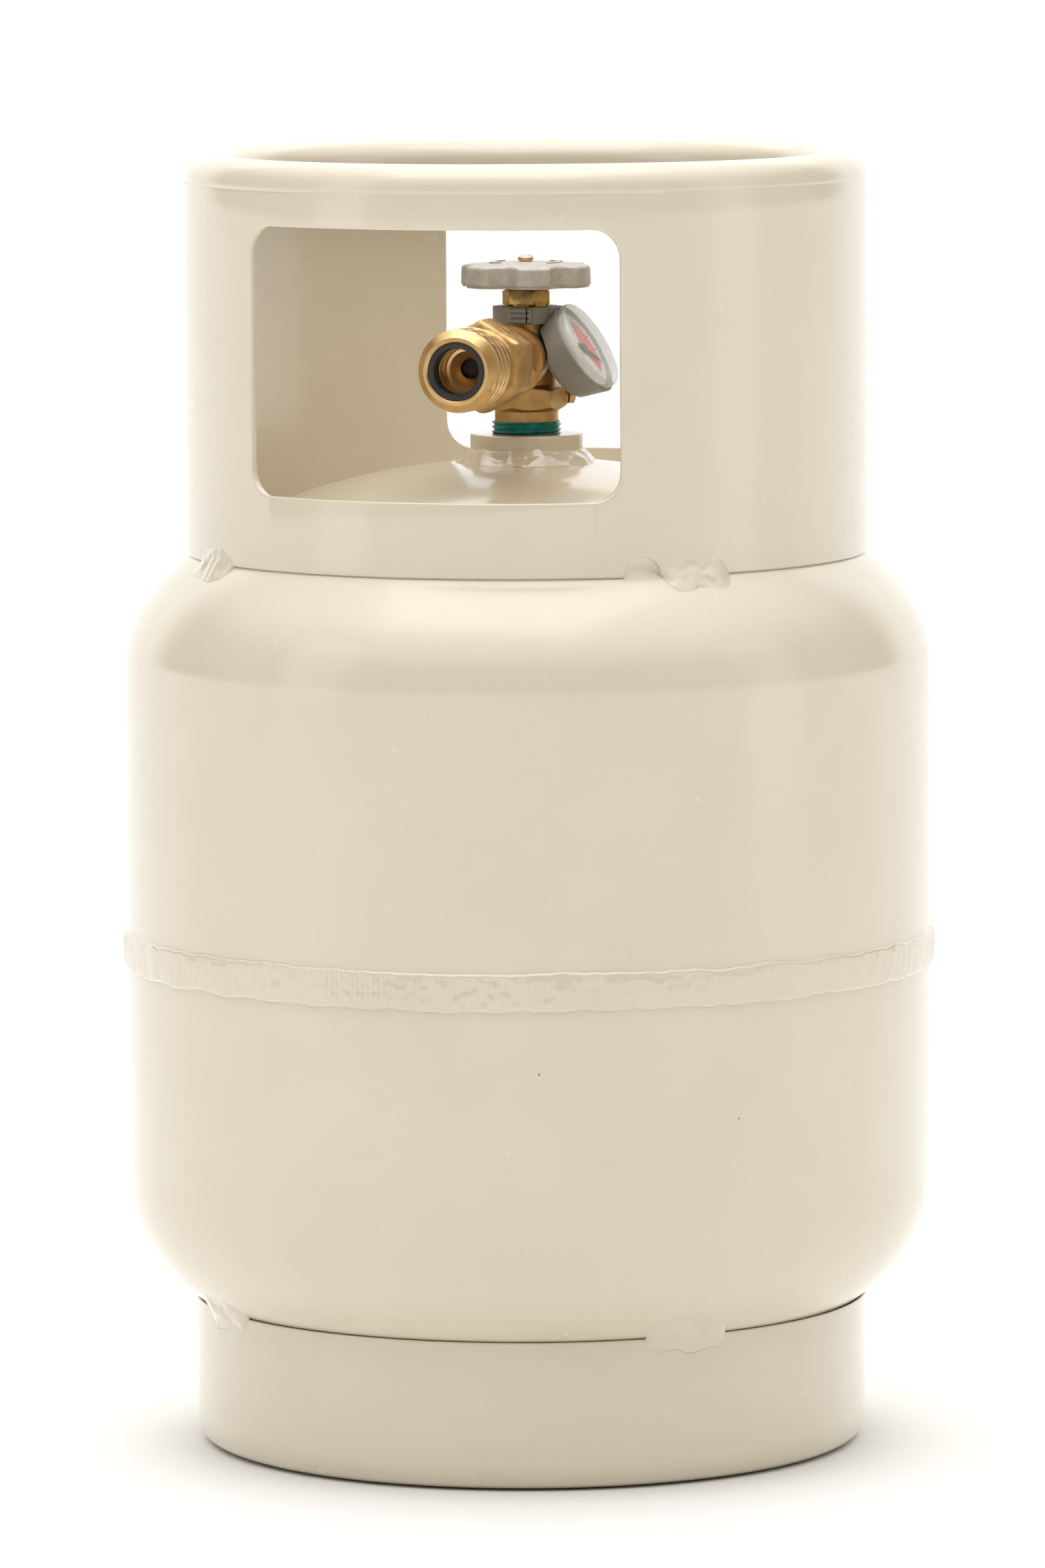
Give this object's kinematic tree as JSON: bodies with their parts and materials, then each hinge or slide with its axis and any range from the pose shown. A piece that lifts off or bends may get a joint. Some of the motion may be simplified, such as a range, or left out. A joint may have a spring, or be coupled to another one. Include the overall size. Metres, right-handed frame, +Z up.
{
  "type": "propane tank",
  "caption": "Upright refillable propane tank with a windowed guard collar, foot ring, and a brass service valve with handwheel, threaded outlet, relief valve, float and dial gauge.",
  "frame": {"origin": "on the floor, at the middle of the foot ring", "axes": "+Z up along the tank's axis; the valve outlet points along -Y; +X is the gauge's side"},
  "size_m": [0.311, 0.311, 0.494],
  "materials": {
    "cream_paint": "glossy powder coat",
    "forged_brass": "forged skin with machined faces",
    "machined_brass": "machined",
    "copper_plate": "bright copper plated",
    "cast_grey": "fine cast",
    "grey_plastic": "moulded",
    "clear_plastic": "clear",
    "dial_white": "printed",
    "needle_black": "painted",
    "black_rubber": "moulded",
    "teal_sealant": "dried compound",
    "spring_steel": "drawn",
    "aluminium_tube": "drawn",
    "white_plastic": "moulded",
    "float_foam": "closed cell"
  },
  "bodies": {
    "tank": {"upper_shell": "cream_paint", "lower_shell": "cream_paint", "girth_weld": "cream_paint", "neck_flange": "cream_paint", "neck_weld": "cream_paint", "collar": "cream_paint", "collar_welds": "cream_paint", "foot_ring": "cream_paint", "foot_ring_welds": "cream_paint", "valve_body": "forged_brass", "thread_sealant": "teal_sealant", "bonnet_nut": "machined_brass", "outlet_connector": "forged_brass", "outlet_seal": "black_rubber", "outlet_guide": "machined_brass", "outlet_spring": "spring_steel", "relief_spring": "spring_steel", "relief_plug": "machined_brass", "bleed_gasket": "black_rubber", "dip_tube": "aluminium_tube", "opd_housing": "white_plastic", "float_pin": "spring_steel", "gauge_clamp": "grey_plastic", "gauge_housing": "grey_plastic", "gauge_dial": "dial_white", "gauge_lens": "clear_plastic"},
    "handwheel": {"handwheel": "cast_grey", "handwheel_screw": "copper_plate", "upper_spindle": "machined_brass", "stem_orings": "black_rubber"},
    "seat": {"seat_disc": "black_rubber"},
    "lower_spindle": {"lower_spindle": "machined_brass"},
    "outlet_poppet": {"outlet_poppet": "black_rubber"},
    "relief_poppet": {"relief_poppet": "machined_brass", "relief_seal": "black_rubber"},
    "bleed_screw": {"bleed_screw": "machined_brass"},
    "float": {"float": "float_foam", "float_arm": "aluminium_tube"},
    "opd_piston": {"opd_piston": "white_plastic"},
    "gauge_shaft": {"gauge_shaft": "spring_steel", "drive_magnet": "spring_steel"},
    "gauge_needle": {"gauge_needle": "needle_black", "gauge_arbor": "needle_black"}
  },
  "joints": [
    {"name": "handwheel_turn", "type": "hinge", "parent": "tank", "child": "handwheel", "pos_m": [0, 0, 0.447], "axis": [0, 0, 1], "range_deg": [0, 900]},
    {"name": "seat_lift", "type": "slide", "parent": "tank", "child": "seat", "axis": [0, 0, 1], "range_m": [0, 0.00375]},
    {"name": "lower_spindle_turn", "type": "hinge", "parent": "seat", "child": "lower_spindle", "pos_m": [0, 0, 0.418], "axis": [0, 0, 1], "range_deg": [0, 900]},
    {"name": "outlet_check_slide", "type": "slide", "parent": "tank", "child": "outlet_poppet", "axis": [0, 1, 0], "range_m": [0, 0.0025], "stiffness_N_per_m": 300, "springref_m": -0.004, "deforming": ["outlet_spring"]},
    {"name": "relief_slide", "type": "slide", "parent": "tank", "child": "relief_poppet", "axis": [0, 1, 0], "range_m": [0, 0.0015], "stiffness_N_per_m": 6000, "springref_m": -0.004, "deforming": ["relief_spring"]},
    {"name": "bleed_screw_turn", "type": "hinge", "parent": "tank", "child": "bleed_screw", "pos_m": [0, 0, 0.4005], "axis": [0.8192, 0.5736, 0], "range_deg": [0, 360]},
    {"name": "float_swing", "type": "hinge", "parent": "tank", "child": "float", "pos_m": [0.00627, 0, 0.332], "axis": [0, 1, 0], "range_deg": [0, 65]},
    {"name": "stop_piston_lift", "type": "slide", "parent": "tank", "child": "opd_piston", "axis": [0, 0, 1], "range_m": [0, 0.003]},
    {"name": "gauge_shaft_turn", "type": "hinge", "parent": "tank", "child": "gauge_shaft", "pos_m": [0.00792, -0.00212, 0.37], "axis": [0, 0, 1], "range_deg": [-225, 0]},
    {"name": "gauge_needle_turn", "type": "hinge", "parent": "tank", "child": "gauge_needle", "pos_m": [0.0129, 0, 0.4128], "axis": [0.8572, 0, 0.515], "range_deg": [0, 225]}
  ],
  "couplings": [
    {"joint": "handwheel_turn", "follows": "seat_lift", "rad_per_m": 4188.8},
    {"joint": "lower_spindle_turn", "follows": "seat_lift", "rad_per_m": 4188.8},
    {"joint": "stop_piston_lift", "follows": "float_swing", "m_per_rad": 0.0026},
    {"joint": "gauge_shaft_turn", "follows": "float_swing", "ratio": -3.3939},
    {"joint": "gauge_needle_turn", "follows": "float_swing", "ratio": 3.3939}
  ]
}
